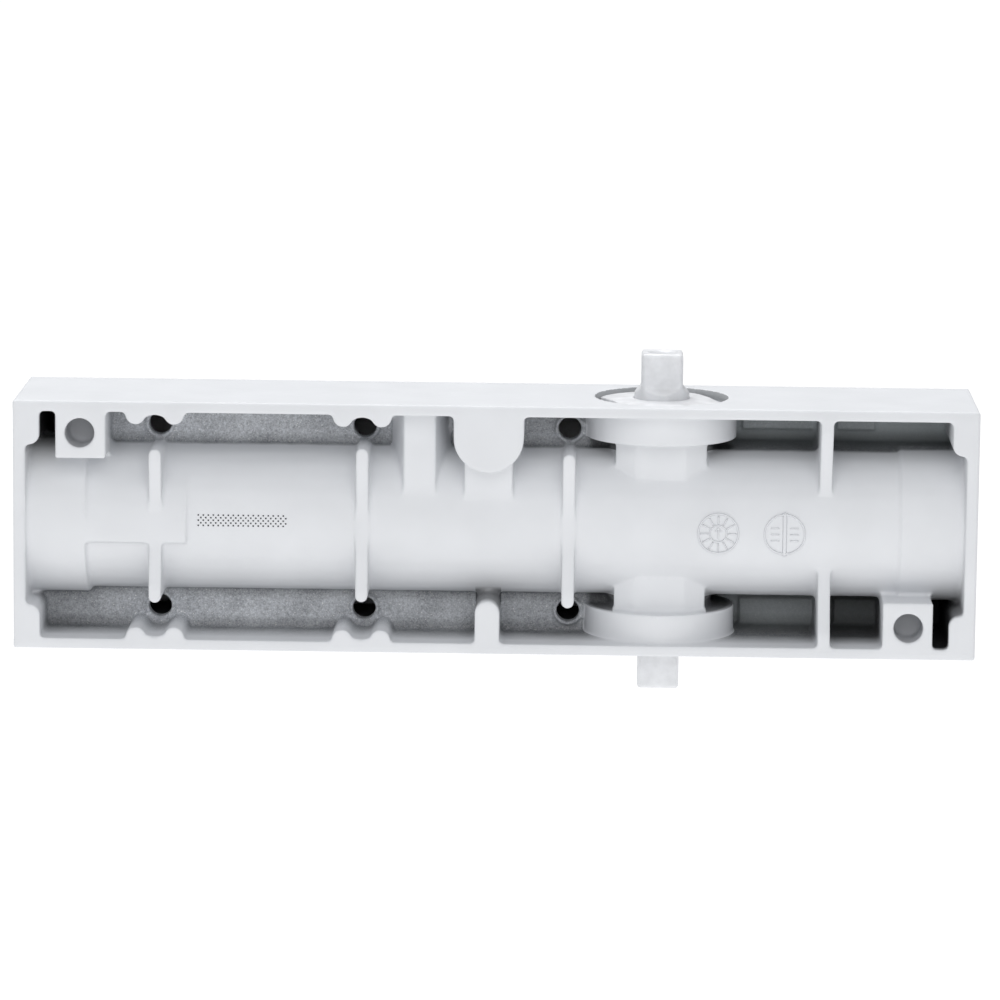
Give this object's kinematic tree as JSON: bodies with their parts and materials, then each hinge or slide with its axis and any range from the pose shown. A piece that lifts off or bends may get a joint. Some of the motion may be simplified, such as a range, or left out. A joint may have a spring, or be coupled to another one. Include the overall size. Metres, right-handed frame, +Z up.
{
  "type": "door closer",
  "caption": "Surface-mounted rack-and-pinion hydraulic door closer body without its arm: ribbed die-cast housing, clip-on front cover, double-ended pinion spindle, spring-loaded rack piston.",
  "frame": {"origin": "on the cylinder's axis, midway along the body, which is the centre of the whole part's box", "axes": "+X along the cylinder from the spring end to the pinion end, +Y away from the door towards the room, +Z up along the pinion spindle"},
  "size_m": [0.23, 0.041, 0.0816],
  "materials": {
    "casting_paint": "satin white-silver powder paint over as-cast aluminium",
    "cover_paint": "satin white-silver powder paint",
    "spindle_steel": "fine-turned plated steel",
    "nut_metal": "turned face",
    "plug_metal": "turned face",
    "piston_steel": "ground",
    "spring_steel": "oiled wire",
    "bearing_steel": "polished",
    "screw_steel": "zinc plated",
    "valve_brass": "turned",
    "seal_rubber": "matt",
    "bush_plastic": "moulded"
  },
  "bodies": {
    "housing": {"body_casting": "casting_paint", "front_cover": "cover_paint", "cover_bushes": "bush_plastic", "upper_bearing_nut": "nut_metal", "lower_bearing_nut": "nut_metal", "upper_bearing_cup": "bearing_steel", "lower_bearing_cup": "bearing_steel", "upper_needle_rollers": "bearing_steel", "lower_needle_rollers": "bearing_steel", "upper_spindle_seal": "seal_rubber", "lower_spindle_seal": "seal_rubber", "upper_thrust_washer": "bearing_steel", "lower_thrust_washer": "bearing_steel", "main_spring": "spring_steel", "adjusting_thrust_washer": "bearing_steel", "left_end_plug": "plug_metal", "left_plug_seal": "seal_rubber", "right_end_plug": "plug_metal", "right_plug_seal": "seal_rubber", "filler_screw": "screw_steel", "filler_washer": "valve_brass", "valve_retaining_rings": "screw_steel"},
    "spindle": {"pinion_spindle": "spindle_steel"},
    "piston": {"piston": "piston_steel", "check_valve_seat": "valve_brass", "check_valve_pin": "screw_steel", "relief_valve_seat": "valve_brass", "relief_valve_ball": "bearing_steel", "relief_valve_spring": "spring_steel"},
    "check_ball": {"check_valve_ball": "bearing_steel"},
    "adjuster": {"adjusting_screw": "screw_steel", "adjusting_screw_seal": "seal_rubber"},
    "spring_seat": {"spring_seat": "piston_steel"},
    "closing_valve": {"closing_valve_screw": "valve_brass", "closing_valve_seal": "seal_rubber"},
    "latching_valve": {"latching_valve_screw": "valve_brass", "latching_valve_seal": "seal_rubber"}
  },
  "joints": [
    {"name": "spindle_turn", "type": "hinge", "parent": "housing", "child": "spindle", "pos_m": [0.0396, 0, 0], "axis": [0, 0, 1], "range_deg": [0, 180], "stiffness_Nm_per_rad": 4.3, "springref_deg": -120.32},
    {"name": "piston_slide", "type": "slide", "parent": "housing", "child": "piston", "axis": [1, 0, 0], "range_m": [-0.0285, 0], "deforming": ["main_spring"]},
    {"name": "check_ball_lift", "type": "slide", "parent": "piston", "child": "check_ball", "axis": [-1, 0, 0], "range_m": [0, 0.0004]},
    {"name": "seat_slide", "type": "slide", "parent": "housing", "child": "spring_seat", "axis": [1, 0, 0], "range_m": [0, 0.012]},
    {"name": "adjuster_turn", "type": "hinge", "parent": "housing", "child": "adjuster", "pos_m": [-0.106, 0, 0], "axis": [1, 0, 0], "range_deg": [0, 2881]},
    {"name": "closing_valve_turn", "type": "hinge", "parent": "housing", "child": "closing_valve", "pos_m": [-0.01815, 0, 0.0223], "axis": [0, 1, 0], "range_deg": [-180, 360]},
    {"name": "latching_valve_turn", "type": "hinge", "parent": "housing", "child": "latching_valve", "pos_m": [-0.0016, 0, 0.0223], "axis": [0, 1, 0], "range_deg": [-180, 360]}
  ],
  "couplings": [
    {"joint": "piston_slide", "follows": "spindle_turn", "m_per_rad": -0.009},
    {"joint": "adjuster_turn", "follows": "seat_slide", "rad_per_m": 4188.8}
  ]
}
